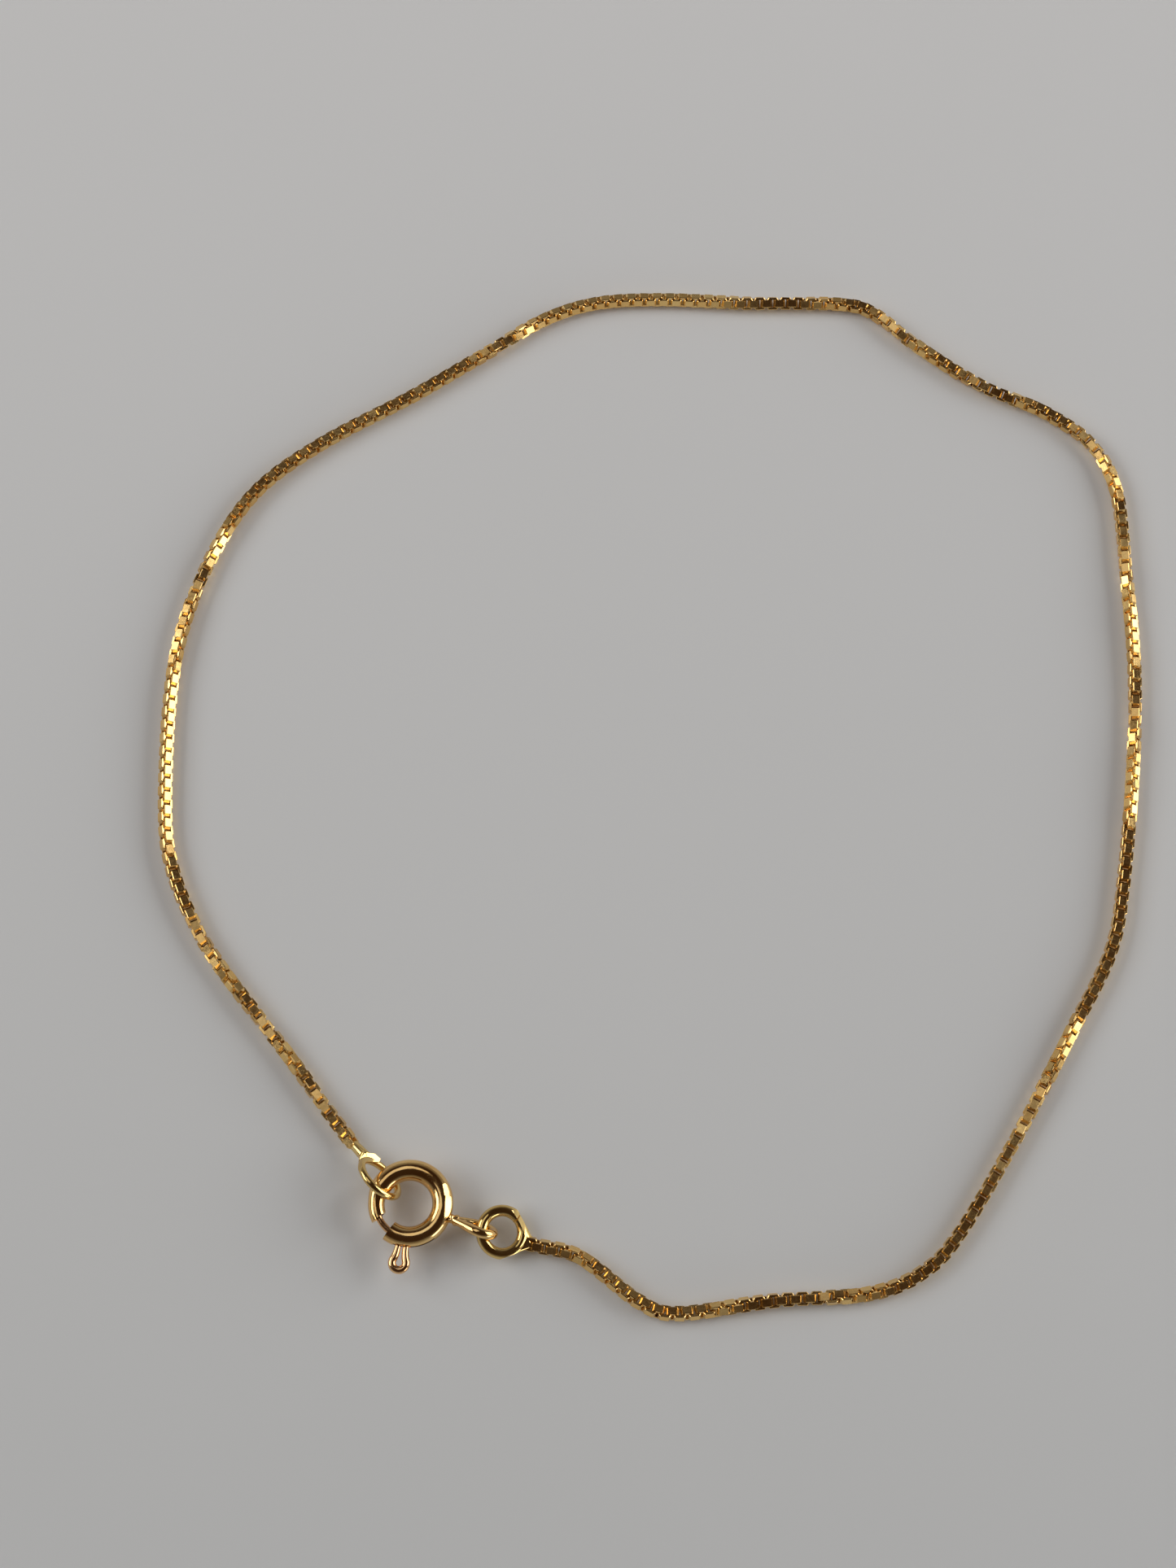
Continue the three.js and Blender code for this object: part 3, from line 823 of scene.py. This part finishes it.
def bolt_lever():
    """The bent wire that closes the mouth, with the thumb lever looped from the same wire."""
    start, stop = MOUTH_FROM - BOLT_ENTRY, LEVER_ANGLE + BOLT_TAIL
    bolt_radius = BOLT_DIAMETER / 2
    bolt = wire(arc_frames(TUBE_RADIUS, start, stop, BOLT_STEPS, lambda angle: bolt_radius), RING_SIDES)
    eased(bolt, BOLT_ROUND, 3)
    frames = hairpin_frames(
        LEVER_ROUTE, LEVER_BEND, LEVER_MOUTH, LEVER_ROOT / 2, LEVER_HEAD / 2, LEVER_CURL
    )
    lever = wire(frames, RING_SIDES)
    bmesh.ops.transform(lever, matrix=turned(LEVER_ANGLE, "Z") @ moved(TUBE_RADIUS), verts=lever.verts)
    bm = worked(bolt, [("UNION", lever)])
    return placed("bolt_lever", bm, CLASP, ROSE_GOLD, "bolt", "clasp_bolt")


def chain_line():
    """The chain's middle line as points close together, with its lift at the catch ring."""
    flat = [Vector((x, y, 0)) for x, y in LAID_ROUTE]
    flat = [Vector((CHAIN_START.x, CHAIN_START.y, 0))] + flat + [Vector((CHAIN_END.x, CHAIN_END.y, 0))]
    around = [2 * flat[0] - flat[1]] + flat + [2 * flat[-1] - flat[-2]]
    lift = CHAIN_START.z - LINK_WIDTH / 2
    line = []
    for number in range(1, len(around) - 2):
        before, start, stop, after = around[number - 1:number + 3]
        handles = (start + (stop - before) / 6, stop - (after - start) / 6)
        stretch = interpolate_bezier(start, handles[0], handles[1], stop, ROUTE_STEPS + 1)
        if number == 1:
            for step, point in enumerate(stretch):
                point.z += lift * (1 - step / ROUTE_STEPS) ** 2
        line += stretch[:-1]
    line.append(flat[-1])
    first = (line[0] - line[1]).normalized() * LINKS_IN_NECK
    last = (line[-1] - line[-2]).normalized() * LINKS_IN_WEB
    return [line[0] + first] + line + [line[-1] + last]


class Measured:
    """A line of points that is read by the length along it."""

    def __init__(self, line):
        self.line = line
        self.marks = [0.0]
        for before, after in zip(line, line[1:]):
            self.marks.append(self.marks[-1] + (after - before).length)
        self.length = self.marks[-1]
        self.step = 0

    def at(self, along):
        """The point at a length along the line. Lengths are asked for in rising order, or nearly."""
        while self.step > 0 and self.marks[self.step] > along:
            self.step -= 1
        while self.step < len(self.marks) - 2 and self.marks[self.step + 1] < along:
            self.step += 1
        low, high = self.marks[self.step], self.marks[self.step + 1]
        share = share_between(along, low, high)
        return self.line[self.step].lerp(self.line[self.step + 1], share)


def twist_at(along):
    """The charted turn of the chain, evenly from one entry to the next."""
    before = TWIST[0]
    for after in TWIST[1:]:
        if along < after[0]:
            return before[1] + (after[1] - before[1]) * share_between(along, before[0], after[0])
        before = after
    return TWIST[-1][1]


def chain_link():
    """One link lying along X: a strip folded into a box, with rounded folds and eased rims."""
    bm = bmesh.new()
    steep = LINK_CORNER / LINK_CORNER_RUN
    made = bmesh.ops.create_grid(
        bm, x_segments=1, y_segments=1, size=0.5,
        matrix=moved(0, 0, -STRIP_WIDTH / 2) @ Matrix.Diagonal((LINK_LENGTH * steep, LINK_WIDTH, 1, 1)),
    )
    bmesh.ops.bevel(
        bm, geom=made["verts"], offset=LINK_CORNER, segments=1, profile=0.5, affect="VERTICES",
        material=-1,
    )
    bmesh.ops.scale(bm, vec=(1 / steep, 1, 1), verts=bm.verts)
    strip = bmesh.ops.inset_region(
        bm, faces=bm.faces[:], thickness=STRIP_THICKNESS, use_boundary=True, use_even_offset=True
    )
    opening = [face for face in bm.faces if face not in strip["faces"]]
    bmesh.ops.delete(bm, geom=opening, context="FACES_ONLY")
    made = bmesh.ops.extrude_face_region(bm, geom=bm.faces[:])["geom"]
    top = [part for part in made if isinstance(part, bmesh.types.BMVert)]
    bmesh.ops.translate(bm, verts=top, vec=(0, 0, STRIP_WIDTH))
    bmesh.ops.recalc_face_normals(bm, faces=bm.faces)
    outer = min(LINK_LENGTH, LINK_WIDTH) / 2 - STRIP_THICKNESS
    rims = [
        edge for edge in sharp_edges(bm)
        if max(abs(edge.verts[0].co.x), abs(edge.verts[0].co.y)) > outer + STRIP_THICKNESS / 2
    ]
    bmesh.ops.bevel(
        bm, geom=rims, offset=LINK_RIM, segments=1, profile=0.5, affect="EDGES", material=-1
    )
    mesh = bpy.data.meshes.new("link")
    bm.to_mesh(mesh)
    bm.free()
    return mesh


def resting_height(roll):
    """How high a link's middle lies when its lowest corner is on the table, with room for its play."""
    wide, narrow = LINK_WIDTH / 2, STRIP_WIDTH / 2
    across, over = abs(cos(roll)), abs(sin(roll))
    return max(wide * across + narrow * over, wide * over + narrow * across) + PLAY_ROOM


def link_place(line, along, number):
    """Where a link lies: a quarter turned from its neighbour, rolled as the chart says, a little loose."""
    behind, ahead = line.at(along - LINK_PITCH / 2), line.at(along + LINK_PITCH / 2)
    way = (ahead - behind).normalized()
    right = way.cross(Vector((0, 0, 1))).normalized()
    up = right.cross(way)
    lean = atan2(tan(radians(CAMERA_LEAN)) * way.x, 1)
    roll = radians(twist_at(along)) + lean
    middle = (behind + ahead) / 2 + Vector((0, 0, resting_height(roll)))
    play = [radians(random.uniform(-LINK_PLAY, LINK_PLAY)) for _ in range(3)]
    roll += pi / 2 * (number % 2)
    face = up * cos(roll) + right * sin(roll)
    stand = Matrix((way, face, way.cross(face))).transposed()
    return Matrix.Translation(middle) @ (stand @ Euler(play).to_matrix()).to_4x4()


def chain():
    """The whole chain, every link from one pattern and with a tone of its own."""
    random.seed(SEED)
    pattern = chain_link()
    line = Measured(chain_line())
    bm = bmesh.new()
    tone = bm.verts.layers.float.new("link_tone")
    count = int(line.length / LINK_PITCH)
    for number in range(count):
        copy = pattern.copy()
        copy.transform(link_place(line, (number + 0.5) * line.length / count, number))
        before = len(bm.verts)
        bm.from_mesh(copy)
        bpy.data.meshes.remove(copy)
        bm.verts.ensure_lookup_table()
        shade = random.random()
        for vert in bm.verts[before:]:
            vert[tone] = shade
    bpy.data.meshes.remove(pattern)
    return placed("chain_links", bm, Matrix.Identity(4), GOLD, "anklet", "box_chain")


def camera():
    data = bpy.data.cameras.new("table_camera")
    data.sensor_width = SENSOR
    data.lens = LENS
    data.clip_start = CLIP_NEAR
    eye = bpy.data.objects.new("table_camera", data)
    eye.matrix_world = (
        Matrix.Translation(CAMERA_PLACE * MM) @ turned(CAMERA_LEAN, "X") @ turned(CAMERA_TURN, "Z")
    )
    bpy.context.scene.collection.objects.link(eye)
    bpy.context.scene.camera = eye


def table():
    bm = bmesh.new()
    bmesh.ops.create_grid(bm, x_segments=1, y_segments=1, size=FLOOR_SIZE / 2)
    mesh = bpy.data.meshes.new("table_top")
    bm.to_mesh(mesh)
    bm.free()
    mesh.materials.append(pale_table_painted_shade())
    floor = bpy.data.objects.new("table_top", mesh)
    bpy.context.scene.collection.objects.link(floor)


def panel(name, bearing, rise, spread, height, strength, colour):
    """A soft window or ceiling on a bearing and a rise, which looks at the anklet."""
    data = bpy.data.lights.new(name, "AREA")
    data.shape = "RECTANGLE"
    data.size = 2 * PANEL_REACH * tan(radians(spread / 2))
    data.size_y = 2 * PANEL_REACH * tan(radians(height / 2))
    data.energy = strength * pi * data.size * data.size_y
    data.color = colour
    lamp = bpy.data.objects.new(name, data)
    lamp.matrix_world = (
        turned(bearing, "Z") @ turned(90 - rise, "Y") @ moved(0, 0, PANEL_REACH) @ turned(90, "Z")
    )
    bpy.context.scene.collection.objects.link(lamp)


def lights():
    for name, row in PANELS.items():
        panel(name, *row)
    bpy.context.scene.view_settings.view_transform = "Standard"


def room():
    """The room's own light, by the height that it comes from."""
    world = bpy.data.worlds.new("studio_room")
    nodes = Nodes(world)
    way = nodes.add("ShaderNodeTexCoord", {}, {}, "Generated")
    height = nodes.add("ShaderNodeSeparateXYZ", {}, {"Vector": way}, "Z")
    stops = [(0.0, ROOM_HORIZON), (ROOM_DIM_FROM, ROOM_OVERHEAD)]
    tone = nodes.add("ShaderNodeValToRGB", {"stops": stops}, {"Fac": height})
    sky = nodes.add("ShaderNodeBackground", {}, {"Color": tone, "Strength": 1.0})
    nodes.add("ShaderNodeOutputWorld", {}, {"Surface": sky})
    bpy.context.scene.world = world


camera()
table()
lights()
room()
chain()
catch_ring()
jump_ring()
clasp_tube()
bolt_lever()
